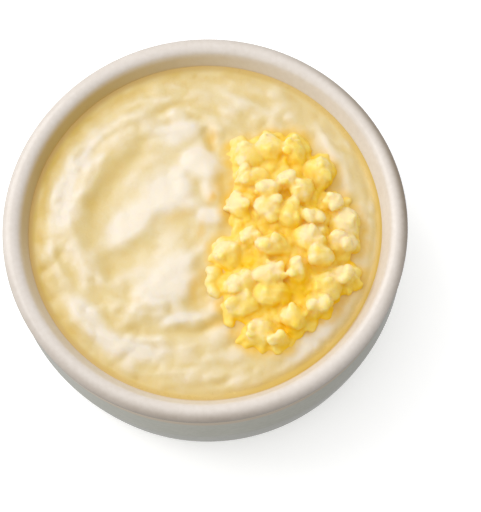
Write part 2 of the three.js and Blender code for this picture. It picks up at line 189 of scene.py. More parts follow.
# Where butter has soaked into the mash: x, y, length, width, turn in degrees, strength.
SOAKED = [
    (3.6, 27, 4, 1.9, 80, 0.8), (6.2, 13, 6, 2.6, 75, 0.8), (3.2, 8.6, 2.6, 1.6, 60, 0.8),
    (-7, 4, 5.5, 1.8, 8, 0.3), (-1.2, -2, 3.6, 1.4, 80, 0.5), (0.6, -17, 6.5, 4.6, 80, 0.8),
    (-4, -19, 5, 1.6, 80, 0.7), (2.8, -17.5, 6, 1.6, 84, 1), (2, -29.6, 3.4, 1.8, 5, 0.8),
    (7, -31.5, 4, 2.2, 70, 1), (8, 0.5, 3, 2.4, 0, 1), (24, -34.5, 5, 3, 30, 1),
]
# Where the spoon has laid bare the paler mash inside, in the same terms.
LAID_BARE = [
    (-11, 12.5, 11, 7.5, 35), (-24.5, 2.5, 7, 4, 45), (-11, -16, 9, 7, 30), (0, 20.5, 5, 3.5, -28),
    (-42, 12, 12, 2.5, 75), (2, 3, 4, 2, 0), (-6, 31, 8, 4, -6), (-36, 24, 10, 2.4, 55),
    (-8, -27.6, 6, 1.6, 8), (-22, -36, 12, 3, -14), (30, -36.5, 11, 2.6, 38), (-36, -24, 10, 3, -55),
]
SOAK_REACH = (0.8, 4.2)  # distances from the curds between which butter in the mash fades out
# Butter that has run to the edge comes in from one radius to another, round to the spread either side of
# an angle. Elsewhere it is only a rim, from a radius of its own.
BUTTER_POOL = {"most_at": -58, "spread": 80, "radii": (48.4, 51.7), "rim": (50, 51.7)}
SHELTERED_SIDE = 155  # degrees round the bowl, where its wall keeps light off the food's edge
# Painted shade: the mash is darker at its edge, and least of all where light reaches it.
PAINTED_EDGE_SHADE = {"radii": (45.5, 51.5), "least": 0.15}
WALL_SHADOW_BAND = (50.5, 52.2)  # radii between which a painted shadow of the wall comes in on the sheltered side
PATCHES = {"seed": 31, "width": 7}
# Widths in cells of the raster over which dips and slopes are judged.
HOLLOW_WIDTH, FINE_HOLLOW_WIDTH, SLOPE_WIDTH = 9, 3, 1.5

# Finer relief that only the looks have. Each layer is seeded noise: across and along are the widths of its
# grains, along runs round its own middle, and it comes in between the radii from there.
STREAKS = {
    "ring": {"middle": (0, 0), "across": 2.6, "along": 6, "rise": 0.1, "radii": (32, 40)},
    "sweep": {"middle": (-12, 7), "across": 1.6, "along": 7, "rise": 0.1, "radii": (4, 12)},
}
STREAK_GRID = {"round": 720, "out": 300, "cell": 0.3, "radius": 40}  # along holds at this radius
SOFT_LUMPS = ((4.2, 0.2), (2.4, 0.06), (1.1, 0.015))  # width and rise of each size of lump
SOFT_LUMP_SEED = 10
LUMP_PROFILE = {"height": 1.3, "crease": 0.4, "ground": 1.2}  # round tops with soft creases between
# Noise bends the folds aside: a seed for X and one for Y, then seed step, shift and width of each layer.
BEND_SEEDS = (41, 42)
BEND_LAYERS = ((0, 0.6, 9), (2, 0.25, 4))
SMOOTH_SCOOP = {"middle": (-13, 5), "radii": (22, 31), "share": 0.35}  # where noise is a share as high
FOLD_SOFTNESS = 0.8
RASTER_STEP = 0.3
RASTER_HALF = 54
EDGE_CLIMB = {"rise": 0.45, "width": 2}  # the food climbs the glaze at its edge
# Less light enters near another piece. It comes back between these heights over the mash, between these
# distances from the curds, and up to this distance from the wall.
CURDS_CLEAR_OF_MASH = (0.3, 2.2)
MASH_CLEAR_OF_CURDS = (1, 4)
MASH_CLEAR_OF_WALL = 2.5
EDGE_CLING = 0.35  # the food clings to the glaze, so its edge is let into the wall by this much
MASH_GRID = 250  # quads along each side of the top before it is rounded into a disc
MASH_WALL_STEPS = 8

# ---- Crumble, in mm ----

CORE, CORE_RISE = (23.5, -6, 17, 27, 0), 3  # x, y, half width, half depth and turn, and how high it is
CORE_SHARE = 0.95  # width of the core under the curds beside the solid's
CRUMBLE_SEED = 7
NODULES = {"count": 2, "radius": (1.6, 2.6), "reach": (0.35, 0.75), "sink": 0.5, "shape": (1, 0.9, 0.85)}
CLUSTER_RISE = (3.4, 5)
CLUSTER_BODY = 1.16  # width of the body of a solid cluster beside the table's
BODY_DRAWS, NODULE_DRAWS = 43, 13  # draws that the solid takes to roughen each body and nodule

# x, y, half width and half depth of each cluster of curds
CLUSTERS = [
    (14, 21.5, 5.5, 5), (21, 23.3, 4.8, 4.2), (28, 21.5, 4, 5.5), (15, 14, 5, 3),
    (34.5, 14, 4.4, 5.2), (19.3, 9.3, 4, 3.6), (25.5, 11.3, 4, 3.4), (29.8, 8.3, 3.6, 4),
    (20, 3.2, 4.6, 4.2), (25.8, 1.4, 4, 4.2), (10.6, 5, 3.8, 5), (38.6, 4.3, 3.2, 3.2),
    (41.6, -2.6, 4.2, 5), (40, -8.8, 4.6, 3.6), (32.4, -0.6, 3, 2.6), (31, -6.8, 5, 4.2),
    (33.6, -12, 3.6, 4), (6, -9.6, 4.4, 5), (12.6, -5, 3.2, 3), (19.6, -8.3, 5, 3.6),
    (10, -19, 6, 3.6), (18, -16.8, 5, 3.6), (10, -25, 5.5, 4), (18.4, -22.8, 4.6, 4.2),
    (26.3, -16.8, 3.2, 4.2), (40, -18.8, 4, 3), (34, -21.6, 5, 4.6), (31.6, -27.2, 4, 3),
    (24.6, -30.2, 4.4, 3.6), (13.8, -34, 5, 4.6), (19.6, -36.6, 3, 2.6),
]
CURD_BODY = 0.98  # size of a cluster's body beside the solid's
FINE_SEED = 19
BIG_LUMPS = {"count": 4, "radius": (1.7, 2.7), "reach": 0.74, "sink": 1.05}
SMALL_CURDS = {"count": 3, "radius": (1, 1.7), "reach": 0.84, "sink": 0.8}
LUMP_PLACES = (0.02, 1)  # squares of the shares of a cluster's width at which its lumps lie
LUMP_FLATNESS = (0.7, 1)
BED_SEED = 23
# Small curds on a loose grid, up to a share of the core's size and a margin round the clusters. Between the
# low distances from a cluster they lose their lift and sink by the second share of their radius too.
BED = {
    "x": 3, "y": -40, "step": 2.5, "rows": 28, "columns": 17, "stray": (-0.4, 0.4), "radius": (2, 2.6),
    "lift": (0, 0.8), "margin": 0.8, "reach": 0.92, "low": (-1, 1), "sink": (0.5, 0.13),
    "shape": (1, 1, 0.8),
}
# A curd is a ball cut by flats at these shares of its radius, with edges rounder the lower the power is.
FLATS = {"count": 12, "reach": (0.74, 1), "power": 9, "corner": 1.06}
LOOSE_LIFT = -0.22  # height of a loose curd's middle above the mash, as a share of its radius
LOOSE_SHAPE = (1, 0.85, 0.8)
# Small curds that lie apart: x, y, radius.
LOOSE_CURDS = [
    (1.6, -15, 3.2), (2.2, -20.6, 3.1), (5.4, -29.2, 2.5), (30, -32.2, 2.4), (0.6, -17.8, 2.6),
    (3.8, -17.6, 2.8), (20.6, -31.4, 3), (13.2, -28.4, 2.4),
]
# Where the curds are paler or more golden than others: x, y, length, width, turn in degrees, shift in tone.
CURD_TINTS = [
    (40.5, -3, 8, 5.5, 90, -0.26), (38, -17.5, 5, 4, 0, -0.2), (5, -8, 5, 4.5, 90, -0.12),
    (24.5, 13, 4, 2.5, 0, -0.2), (17.5, -15, 5.5, 3.6, 0, -0.2), (9, -20, 6, 5, 90, -0.12),
    (30.5, -4.5, 5, 4.5, 60, -0.16), (13.5, -31, 4, 3.6, 0, -0.16), (17, 6, 6, 4, 80, -0.12),
    (9, 8.5, 4, 4, 0, -0.14), (27, -13.5, 3, 2, 90, -0.2), (15, 17, 4, 2, 0, -0.12),
    (28.5, 21, 5, 3.6, 100, 0.16), (37, 10, 5, 3.4, 100, 0.12), (25, -23, 6, 4, 20, 0.28),
    (24, -33, 5, 3, 30, 0.24), (11, -13, 6, 2.4, 0, 0.2), (35, -13, 4, 2, 0, 0.2),
    (27.5, -1.5, 4, 2, 60, 0.16), (20, 19, 4, 2.4, 0, 0.08), (8, -32, 3.6, 2.4, 90, 0.2),
    (14, 23, 5, 4, 0, -0.08), (12.5, 1, 3, 2, 90, 0.18),
]
BALL_DETAIL = 2
CURD_VOXEL = 0.33
CURD_SOFTENING = {"times": 9, "factor": 0.5}
# Seed, width, and shift along X, Y and Z of each layer of noise that bends the curds.
CURD_WARP = ((51, 4.2, (0.7, 0.7, 0.3)), (61, 1.8, (0.22, 0.22, 0.16)))
# Seed, width and rise of each size of roughness on them.
CURD_NOISE = ((31, 2.4, 0.26), (32, 1.2, 0.17), (33, 0.7, 0.04))
NOISE_CELLS = 32  # noise in space repeats after this many grains
# How deep a point lies is told from the heap's top, on a raster, smoothed over these widths in cells.
TOP_CELL, TOP_HALF = 0.4, 60
TOP_WIDTHS = (4.5, 9)


# ---- Numbers ----

def smoothstep(x, low, high):
    """0 up to low and 1 from high on, with a smooth rise between them."""
    share = np.clip((x - low) / (high - low), 0, 1)
    return share * share * (3 - 2 * share)


def facing(angles, degrees):
    """1 where an angle in radians is at the degrees, and 0 opposite."""
    return 0.5 + 0.5 * np.cos(angles - math.radians(degrees))


def angle_from(angles, degrees):
    """How many degrees an angle in radians lies to either side of the degrees."""
    return np.abs((np.degrees(angles) - degrees + 180) % 360 - 180)


def fall(x, low, high):
    """1 up to low and 0 from high on, with a smooth fall between them."""
    return 1 - smoothstep(x, low, high)


def beside(angles, layer):
    """1 at the angle that has most of the layer, down to 0 at the layer's spread to either side."""
    return fall(angle_from(angles, layer["most_at"]), 0, layer["spread"])


def direction(degrees):
    return math.cos(math.radians(degrees)), math.sin(math.radians(degrees))


DRAW_FACTOR, DRAW_RANGE = 16807, 2147483647


def draws(seed):
    """A repeatable stream of draws between low and high, the one that the solids were made with."""
    state = seed

    def draw(low, high):
        nonlocal state
        state = state * DRAW_FACTOR % DRAW_RANGE
        return low + (high - low) * state / DRAW_RANGE

    return draw


# ---- Bowl shape ----

def wall_radius(level):
    drop = max(TAPER_TOP - level, 0) / TAPER_TOP
    return WALL_RADIUS - TAPER * drop ** TAPER_POWER


def lip_point(degrees):
    """Radius and level of a point on the lip's roll."""
    out, up = direction(degrees)
    return LIP_MIDDLE[0] + LIP_HALF_WIDTH * out, LIP_MIDDLE[1] + LIP_HALF_HEIGHT * up


def bevel_radius(level):
    """Radius of the inner bevel at a level."""
    start_radius, start_level = lip_point(LIP_END)
    return start_radius - (start_level - level) * BEVEL_SLOPE


def well_profile(offset, steps):
    """Radius and level down the well's side to the middle of its floor, moved inwards by the offset."""
    depth = WELL_TOP - WELL_FLOOR - offset
    angles = np.linspace(0, math.pi / 2, steps + 1)
    radii = (bevel_radius(WELL_TOP) - offset) * np.clip(np.cos(angles), 0, 1) ** (2 / WELL_POWER)
    levels = WELL_TOP - depth * np.sin(angles) ** (2 / WELL_POWER)
    radii[-1] = 0
    return list(zip(radii, levels))


def bowl_profile():
    """(radius, level, zone) from under the middle, out and up over the lip, and down into the well."""
    def spaced(start, end, part):
        return np.linspace(start, end, PROFILE_STEPS[part] + 1)

    points = [(radius, level, "foot") for radius, level in FOOT_OUTLINE]
    heel_level = UNDERSIDE + HEEL_RADIUS
    out, up = direction(HEEL_END)
    heel_top = heel_level + HEEL_RADIUS * up
    heel_middle = wall_radius(heel_top) - HEEL_RADIUS * out
    for degrees in spaced(-90, HEEL_END, "heel"):
        out, up = direction(degrees)
        points.append((heel_middle + HEEL_RADIUS * out, heel_level + HEEL_RADIUS * up, "wall"))
    for level in spaced(heel_top, WALL_TOP, "wall")[1:]:
        points.append((wall_radius(level), level, "wall"))
    lip_foot_radius, lip_foot = lip_point(LIP_START)
    for share in spaced(0, 1, "neck")[1:]:
        dip = (WALL_RADIUS - lip_foot_radius) * math.sin(share * math.pi / 2) ** 2
        points.append((WALL_RADIUS - dip, WALL_TOP + (lip_foot - WALL_TOP) * share, "neck"))
    points.extend((*lip_point(degrees), "lip") for degrees in spaced(LIP_START, LIP_END, "lip")[1:])
    for level in spaced(lip_point(LIP_END)[1], WELL_TOP, "bevel")[1:-1]:
        points.append((bevel_radius(level), level, "inside"))
    points.extend((*place, "inside") for place in well_profile(0, PROFILE_STEPS["well"]))
    return points


# ---- Mash surface ----

def catmull_rom(points):
    """Points along a uniform Catmull-Rom spline through the given points."""
    knots = np.array([points[0], *points, points[-1]], float)
    path = []
    for step in range(RIDGE_STEPS + 1):
        place = step / RIDGE_STEPS * (len(points) - 1)
        first = min(int(place), len(points) - 2)
        t = place - first
        p0, p1, p2, p3 = knots[first:first + 4]
        start, end = (p2 - p0) / 2, (p3 - p1) / 2
        cubic = (2 * p1 - 2 * p2 + start + end) * t ** 3
        square = (3 * p2 - 3 * p1 - 2 * start - end) * t ** 2
        path.append(cubic + square + start * t + p1)
    return np.array(path)


def ridge_rise(points, rise, left, right, x, y):
    path = catmull_rom(points)
    best = np.full(x.shape, np.inf)
    share = np.zeros(x.shape)
    width = np.full(x.shape, float(left))
    for i in range(RIDGE_STEPS):
        run = path[i + 1] - path[i]
        toward_x, toward_y = x - path[i][0], y - path[i][1]
        step = np.clip((toward_x * run[0] + toward_y * run[1]) / (run @ run), 0, 1)
        distance = np.hypot(toward_x - step * run[0], toward_y - step * run[1])
        closer = distance < best
        best = np.where(closer, distance, best)
        share = np.where(closer, (i + step) / RIDGE_STEPS, share)
        side = run[0] * toward_y - run[1] * toward_x > 0
        width = np.where(closer, np.where(side, left, right), width)
    taper = smoothstep(np.minimum(share, 1 - share), 0, RIDGE_TAPER)
    return rise * taper * np.exp(-(best / width) ** 2)


def lump_span(x, y, middle_x, middle_y, length, width, turn):
    """The square of the distance from a lump's middle, in units of the lump's own size."""
    cos, sin = direction(turn)
    along = ((x - middle_x) * cos + (y - middle_y) * sin) / length
    across = ((y - middle_y) * cos - (x - middle_x) * sin) / width
    return along ** 2 + across ** 2


def radius_from(x, y, shape):
    return np.hypot(x - shape["middle"][0], y - shape["middle"][1])


MASH_RADIUS = bevel_radius(EDGE_LEVEL) - GAP * math.hypot(1, BEVEL_SLOPE)


def swell_relief(x, y):
    """Low swellings that run round the bowl, softer than the solid's."""
    draw = draws(MASH_SEED)
    relief = np.zeros(x.shape)
    for _ in range(SWELLS["count"]):
        angle = draw(0, 360)
        radius = (MASH_RADIUS - SWELL_MARGIN) * math.sqrt(draw(0, 1))
        place = [radius * share for share in direction(angle)]
        length, width, rise = draw(*SWELLS["length"]), draw(*SWELLS["width"]), draw(*SWELLS["rise"])
        relief += SWELL_SHARE * rise * np.exp(-lump_span(x, y, *place, length, width, angle + 90))
    return relief


def spooned_relief(x, y):
    """The spoon's hollow, folds and lumps."""
    hollow = fall(radius_from(x, y, SCOOP), *SCOOP["radii"])
    relief = -SCOOP["depth"] * hollow * fall(x, *SCOOP["runs_out"])
    for points, rise, left, right in RIDGES.values():
        relief += ridge_rise(points, rise, left, right, x, y)
    for *shape, rise in [*LUMPS.values(), *SMALL_LUMPS]:
        relief += rise * np.exp(-lump_span(x, y, *shape) ** 2)
    return relief


def mash_base(radius):
    shoulder = SHOULDER["rise"] * fall(radius, *SHOULDER["radii"])
    return EDGE_LEVEL + shoulder + MOUND["rise"] * fall(radius, *MOUND["radii"])


def blur(field, down, across=None):
    """The field smoothed over a width in cells, or one down it and one across. It wraps round."""
    spectrum = np.fft.fft2(field)
    for axis, width in enumerate((down, across or down)):
        shape = [1, 1]
        shape[axis] = -1
        waves = np.fft.fftfreq(field.shape[axis]).reshape(shape)
        spectrum = spectrum * np.exp(-2 * (math.pi * waves * width) ** 2)
    return np.fft.ifft2(spectrum).real


def soft_noise(seed, shape, down, across=None):
    """Seeded noise with a spread of 1 and grains of the given width or widths in cells."""
    field = blur(np.random.default_rng(seed).standard_normal(shape), down, across)
    return field / field.std()


def sample(field, rows, columns):
    """The field between its cells."""
    rows = np.clip(rows, 0, field.shape[0] - 1.001)
    columns = np.clip(columns, 0, field.shape[1] - 1.001)
    row, column = rows.astype(int), columns.astype(int)
    down, right = rows - row, columns - column
    upper = field[row, column] * (1 - right) + field[row, column + 1] * right
    lower = field[row + 1, column] * (1 - right) + field[row + 1, column + 1] * right
    return upper * (1 - down) + lower * down


def streak_relief(seed, layer, x, y):
    """Noise drawn out along circles round the layer's middle."""
    x, y = x - layer["middle"][0], y - layer["middle"][1]
    radius, turn = np.hypot(x, y), np.arctan2(y, x) / (2 * math.pi) + 0.5
    cells_round, cell = STREAK_GRID["round"], STREAK_GRID["cell"]
    round_width = layer["along"] / (2 * math.pi * STREAK_GRID["radius"]) * cells_round
    noise = soft_noise(seed, (STREAK_GRID["out"], cells_round), layer["across"] / cell / 2, round_width / 2)
    noise = np.hstack([noise, noise[:, :2]])
    come_in = smoothstep(radius, *layer["radii"])
    return layer["rise"] * come_in * sample(noise, radius / cell, turn * cells_round)


def lumpy_relief(seed, width, rise, shape):
    """Soft lumps of the given width and rise in mm, all over the raster."""
    cells = width / RASTER_STEP / 2
    lumps = np.hypot(soft_noise(seed, shape, cells), LUMP_PROFILE["crease"])
    return rise * (LUMP_PROFILE["height"] * lumps - LUMP_PROFILE["ground"])


def soaked_share(x, y):
    """How much butter has soaked into the mash, in its dips and round the curds."""
    soaked = fall(cluster_distance(x, y), *SOAK_REACH)
    for *shape, strength in SOAKED:
        soaked = np.maximum(soaked, strength * np.exp(-lump_span(x, y, *shape)))
    return soaked


def mash_relief(x, y):
    """Everything that stands above or below the mash's smooth base."""
    bend_x, bend_y = (
        sum(shift * soft_noise(seed + step, x.shape, width) for step, shift, width in BEND_LAYERS)
        for seed in BEND_SEEDS
    )
    relief = blur(spooned_relief(x + bend_x, y + bend_y), FOLD_SOFTNESS / RASTER_STEP)
    relief += swell_relief(x, y)
    rough = smoothstep(radius_from(x, y, SMOOTH_SCOOP), *SMOOTH_SCOOP["radii"])
    rough = SMOOTH_SCOOP["share"] + (1 - SMOOTH_SCOOP["share"]) * rough
    for seed, layer in enumerate(STREAKS.values()):
        relief += streak_relief(seed, layer, x, y) * rough
    for seed, (width, rise) in enumerate(SOFT_LUMPS, SOFT_LUMP_SEED):
        relief += lumpy_relief(seed, width, rise, x.shape) * rough
    return relief


def mash_fields():
    """The mash's level on a square raster in mm, and what its colours need there."""
    line = np.linspace(-RASTER_HALF, RASTER_HALF, int(2 * RASTER_HALF / RASTER_STEP) + 1)
    x, y = np.meshgrid(line, line)
    radius, angles = np.hypot(x, y), np.arctan2(y, x)
    relief = mash_relief(x, y)
    fade = fall(radius, MASH_RADIUS - RELIEF_FADE, MASH_RADIUS)
    climb = smoothstep(radius, MASH_RADIUS - EDGE_CLIMB["width"], MASH_RADIUS + GAP) ** 2
    slope_y, slope_x = np.gradient(blur(relief, SLOPE_WIDTH), RASTER_STEP)
    off_wall = fall(radius, MASH_RADIUS - MASH_CLEAR_OF_WALL, MASH_RADIUS)
    sheltered = facing(angles, SHELTERED_SIDE)
    # Painted shade at the edge, strongest on the sheltered side.
    dark = PAINTED_EDGE_SHADE["least"] + (1 - PAINTED_EDGE_SHADE["least"]) * sheltered ** 2
    pool = smoothstep(radius, *BUTTER_POOL["radii"]) * beside(angles, BUTTER_POOL)
    rim = smoothstep(radius, *BUTTER_POOL["rim"]) * (1 - sheltered)
    return mash_base(radius) + relief * fade + EDGE_CLIMB["rise"] * climb, {
        # Dips, lees and the sheltered edge become painted shade in the colour, and the band at the wall a
        # painted shadow of it.
        "hollow": blur(relief, HOLLOW_WIDTH) - relief,
        "fine_hollow": blur(relief, FINE_HOLLOW_WIDTH) - relief,
        "patches": soft_noise(PATCHES["seed"], x.shape, PATCHES["width"]),
        "lee": slope_y * LIT_FROM[1] + slope_x * LIT_FROM[0],
        "soaked": soaked_share(x, y),
        "bare": sum(np.exp(-lump_span(x, y, *shape)) for shape in LAID_BARE),
        "clear": smoothstep(cluster_distance(x, y), *MASH_CLEAR_OF_CURDS) * off_wall,
        "edge": smoothstep(radius, *PAINTED_EDGE_SHADE["radii"]) * dark,
        "wall_shadow": smoothstep(radius, *WALL_SHADOW_BAND) * sheltered,
        "pooled": np.maximum(pool, rim),
    }


def field_at(field, x, y):
    """A field of the mash's raster at places in mm."""
    return sample(field, (y + RASTER_HALF) / RASTER_STEP, (x + RASTER_HALF) / RASTER_STEP)


def cluster_distance(x, y):
    """Rough distance to the nearest cluster of curds, below zero inside it."""
    nearest = np.full(np.shape(x), np.inf)
    for *middle, half_width, half_depth in CLUSTERS:
        span = np.sqrt(lump_span(x, y, *middle, half_width, half_depth, 0))
        nearest = np.minimum(nearest, (span - 1) * min(half_width, half_depth))
    return nearest


# ---- Meshes ----

def new_object(name, data):
    piece = bpy.data.objects.new(name, data)
    bpy.context.scene.collection.objects.link(piece)
    return piece


def add_piece(name, mesh, material):
    """A smooth object in one material."""
    mesh.materials.clear()
    mesh.materials.append(material)
    mesh.polygons.foreach_set("use_smooth", [True] * len(mesh.polygons))
    return new_object(name, mesh)


def mesh_from(name, points, faces):
    """A mesh from points in mm."""
    mesh = bpy.data.meshes.new(name)
    mesh.from_pydata((np.asarray(points) * MM).tolist(), [], faces)
    mesh.validate()
    mesh.update()
    return mesh


def set_attribute(mesh, name, values):
    layer = mesh.attributes.new(name, "FLOAT", "POINT")
    layer.data.foreach_set("value", np.asarray(values, np.float32))


def ring_points(radius, angles, level):
    return np.column_stack([radius * np.cos(angles), radius * np.sin(angles), np.full(len(angles), level)])


def ring_pairs(count):
    """Each place round a ring and the next one."""
    return [(k, (k + 1) % count) for k in range(count)]


def make_bowl(material):
    profile = bowl_profile()
    radii = np.array([point[0] for point in profile])
    levels = np.array([point[1] for point in profile])
    angles = np.linspace(0, 2 * math.pi, BOWL_SEGMENTS, endpoint=False)
    wobble = sum(share * np.sin(waves * angles + turn) for waves, turn, share in WOBBLE_WAVES)
    wobble *= THROWN_WOBBLE / sum(share for *_, share in WOBBLE_WAVES)
    points = []
    for radius, level in zip(radii[1:-1], levels[1:-1]):
        stray = wobble * (level / BOWL_HEIGHT) * (radius / BOWL_RADIUS)
        points.append(ring_points(radius + stray, angles, level))
    points = np.vstack([*points, [[0, 0, levels[0]], [0, 0, levels[-1]]]])
    bottom, top = len(points) - 2, len(points) - 1
    faces = []
    pairs = ring_pairs(BOWL_SEGMENTS)
    for lower in range(0, bottom - BOWL_SEGMENTS, BOWL_SEGMENTS):
        upper = lower + BOWL_SEGMENTS
        faces += [(upper + k, lower + k, lower + after, upper + after) for k, after in pairs]
    last = bottom - BOWL_SEGMENTS
    for k, after in pairs:
        faces += [(bottom, after, k), (top, last + k, last + after)]
    mesh = mesh_from("bowl_glazed", points, faces)
    finish_bowl(mesh, radii[1:-1], levels[1:-1], np.array([point[2] for point in profile[1:-1]]), angles)
    return add_piece("bowl_glazed", mesh, material)


def finish_bowl(mesh, radii, levels, zones, angles):
    """Attributes that say where each glaze, stain, painted shade and bare part of the bowl lies."""
    inside, on_lip = zones == "inside", zones == "lip"
    up, out = (levels - LIP_MIDDLE[1]) / LIP_HALF_HEIGHT, (radii - LIP_MIDDLE[0]) / LIP_HALF_WIDTH
    roll = np.degrees(np.arctan2(up, out))
    inner = inside | (on_lip & (roll > LIP_TOP))
    all_round = np.ones(len(angles))
    # Thin glaze, with painted shade most on the side turned from the light.
    thin_and_shade_side = np.interp((np.degrees(angles) + 180) % 360 - 180, *zip(*THIN_AND_SHADE_ROUND))
    # Painted shade inside, most on the side turned from the light.
    inner_shade_side = INNER_SHADE["least"] + (1 - INNER_SHADE["least"]) * facing(angles, INNER_SHADE["most_at"]) ** INNER_SHADE["power"]
    # Dried food, with painted shade on the sheltered side.
    dried_and_shade_side = FOOD_LINE["most"] * facing(angles, SHELTERED_SIDE)
    # Shares down the profile, round the bowl, and at the middle of the foot and of the well.
    shares = {
        "foot": (zones == "foot", all_round, (1, 0)),
        "wall": (zones == "wall", all_round, (0, 0)),
        "neck": (zones == "neck", all_round, (0, 0)),
        "thin_and_shade": (on_lip * fall(roll, *THIN_GLAZE_AND_SHADE), thin_and_shade_side, (0, 0)),
        "inner_shade": (inner * fall(levels, *INNER_SHADE["levels"]), inner_shade_side, (0, 1)),
        "dried_food_and_shade": (inside * fall(levels, *FOOD_LINE["levels"]), dried_and_shade_side, (0, 0)),
        "butter": (inside * fall(levels, *BUTTER_FILM["levels"]), beside(angles, BUTTER_FILM), (0, 0)),
    }
    for name, (down, around, middles) in shares.items():
        set_attribute(mesh, name, np.append(np.outer(down, around), middles))


def disc_points(count, radius):
    """A square grid of points rounded into a disc, with the same spacing all over."""
    line = np.linspace(-1, 1, count + 1)
    u, v = np.meshgrid(line, line)
    wide = np.abs(u) > np.abs(v)
    safe_u, safe_v = np.where(u == 0, 1, u), np.where(v == 0, 1, v)
    angle = np.where(wide, math.pi / 4 * v / safe_u, math.pi / 2 - math.pi / 4 * u / safe_v)
    reach = np.where(wide, u, v) * radius
    return (reach * np.cos(angle)).ravel(), (reach * np.sin(angle)).ravel()


def grid_border(grid):
    """The numbers along the border of a grid, anticlockwise."""
    return np.concatenate([grid[0, :-1], grid[:-1, -1], grid[-1, :0:-1], grid[:0:-1, 0]]).tolist()


def make_mash(mash_level, layers, material):
    """The top as a fine disc, closed by rings that follow the well below."""
    x, y = disc_points(MASH_GRID, bevel_radius(EDGE_LEVEL) + EDGE_CLING)
    z = field_at(mash_level, x, y)
    grid = np.arange(len(x)).reshape(MASH_GRID + 1, -1)
    corners = (grid[:-1, :-1], grid[:-1, 1:], grid[1:, 1:], grid[1:, :-1])
    faces = np.stack(corners, axis=-1).reshape(-1, 4).tolist()
    border = grid_border(grid)
    points = [np.column_stack([x, y, z])]
    angles = np.arctan2(y[border], x[border])
    ring, total, pairs = border, len(x), ring_pairs(len(border))
    for radius, level in well_profile(GAP / 3, MASH_WALL_STEPS)[:-1]:
        points.append(ring_points(radius, angles, level))
        lower = range(total, total + len(border))
        faces += [(ring[after], ring[k], lower[k], lower[after]) for k, after in pairs]
        ring, total = lower, total + len(border)
    points = np.vstack([*points, [[0, 0, WELL_FLOOR + GAP]]])
    faces += [(total, ring[after], ring[k]) for k, after in pairs]
    mesh = mesh_from("mash_spooned", points, faces)
    rim = set(border)
    for edge in mesh.edges:
        edge.use_edge_sharp = rim.issuperset(edge.vertices)
    for name, field in layers.items():
        set_attribute(mesh, name, field_at(field, points[:, 0], points[:, 1]))
    return add_piece("mash_spooned", mesh, material)


# ---- Crumble ----

def heap_ground(mash_level, x, y):
    """Level that a curd stands on: the core's dome, or the mash beyond it."""
    rise = CORE_RISE * np.sqrt(np.clip(1 - lump_span(x, y, *CORE), 0, 1))
    return np.maximum(field_at(mash_level, *CORE[:2]) + rise, field_at(mash_level, x, y))


def on_dome(middle, size, reach, angle, sink):
    """A place on a dome, at a share of the way from its middle to its edge, let in by the sink."""
    across = middle[0] + size[0] * reach * math.cos(angle)
    along = middle[1] + size[1] * reach * math.sin(angle)
    return across, along, middle[2] + size[2] * math.sqrt(1 - reach ** 2) - sink


def curd_balls(mash_level):
    """(place, radii, turn) of every ball that the curds are made of, cluster by cluster."""
    coarse, fine = draws(CRUMBLE_SEED), draws(FINE_SEED)

    def skip(count):
        for _ in range(count):
            coarse(0, 1)

    balls = []
    for x, y, half_width, half_depth in CLUSTERS:
        middle = (x, y, heap_ground(mash_level, x, y))
        rise = coarse(*CLUSTER_RISE)
        skip(BODY_DRAWS)
        body = np.array([half_width * CLUSTER_BODY, half_depth * CLUSTER_BODY, rise])
        balls.append((middle, body * CURD_BODY, 0))
        for i in range(NODULES["count"]):
            angle = 2 * math.pi * (i + coarse(0, 1)) / NODULES["count"]
            reach = coarse(*NODULES["reach"])
            radius = coarse(*NODULES["radius"])
            place = on_dome(middle, (half_width, half_depth, rise), reach, angle, radius * NODULES["sink"])
            skip(NODULE_DRAWS)
            balls.append((place, [radius * share for share in NODULES["shape"]], angle))
        for lumps in (BIG_LUMPS, SMALL_CURDS):
            for _ in range(lumps["count"]):
                angle = fine(0, 2 * math.pi)
                reach = math.sqrt(fine(*LUMP_PLACES))
                radius = fine(*lumps["radius"])
                place = on_dome(middle, body * lumps["reach"], reach, angle, radius * lumps["sink"])
                radii = (radius, radius * fine(*LUMP_FLATNESS), radius * fine(*LUMP_FLATNESS))
                balls.append((place, radii, fine(0, math.pi)))
    for x, y, radius in LOOSE_CURDS:
        level = field_at(mash_level, x, y) + radius * LOOSE_LIFT
        balls.append(((x, y, level), [radius * share for share in LOOSE_SHAPE], x))
    return balls


def bed_balls(mash_level):
    """Small curds that fill the crevices between the clusters."""
    fine = draws(BED_SEED)
    balls = []
    for row in range(BED["rows"]):
        for column in range(BED["columns"]):
            x = BED["x"] + BED["step"] * (column + fine(*BED["stray"]))
            y = BED["y"] + BED["step"] * (row + fine(*BED["stray"]))
            radius = fine(*BED["radius"])
            lift = fine(*BED["lift"])
            apart = cluster_distance(x, y)
            if lump_span(x, y, *CORE) < BED["reach"] ** 2 or apart < BED["margin"]:
                outside = smoothstep(apart, *BED["low"])
                sink = radius * (BED["sink"][0] + BED["sink"][1] * outside)
                place = (x, y, heap_ground(mash_level, x, y) + (lift * (1 - outside) - sink))
                balls.append((place, [radius * share for share in BED["shape"]], 0))
    return balls


def unit_ball():
    """Points and faces of an icosphere of radius 1."""
    shape = bmesh.new()
    bmesh.ops.create_icosphere(shape, subdivisions=BALL_DETAIL, radius=1)
    points = np.array([corner.co for corner in shape.verts])
    faces = np.array([[corner.index for corner in face.verts] for face in shape.faces])
    shape.free()
    return points, faces


def flattened(directions, seed):
    """How far a ball of radius 1 reaches in each direction once flats have been cut from it."""
    random = np.random.default_rng(seed)
    outward = random.standard_normal((FLATS["count"], 3))
    outward /= np.linalg.norm(outward, axis=1)[:, None]
    reach = random.uniform(*FLATS["reach"], FLATS["count"])
    cut = np.clip(directions @ outward.T, 0, None) / reach
    total = (cut ** FLATS["power"]).sum(axis=1) + FLATS["corner"] ** -FLATS["power"]
    return (total ** (-1 / FLATS["power"]))[:, None]


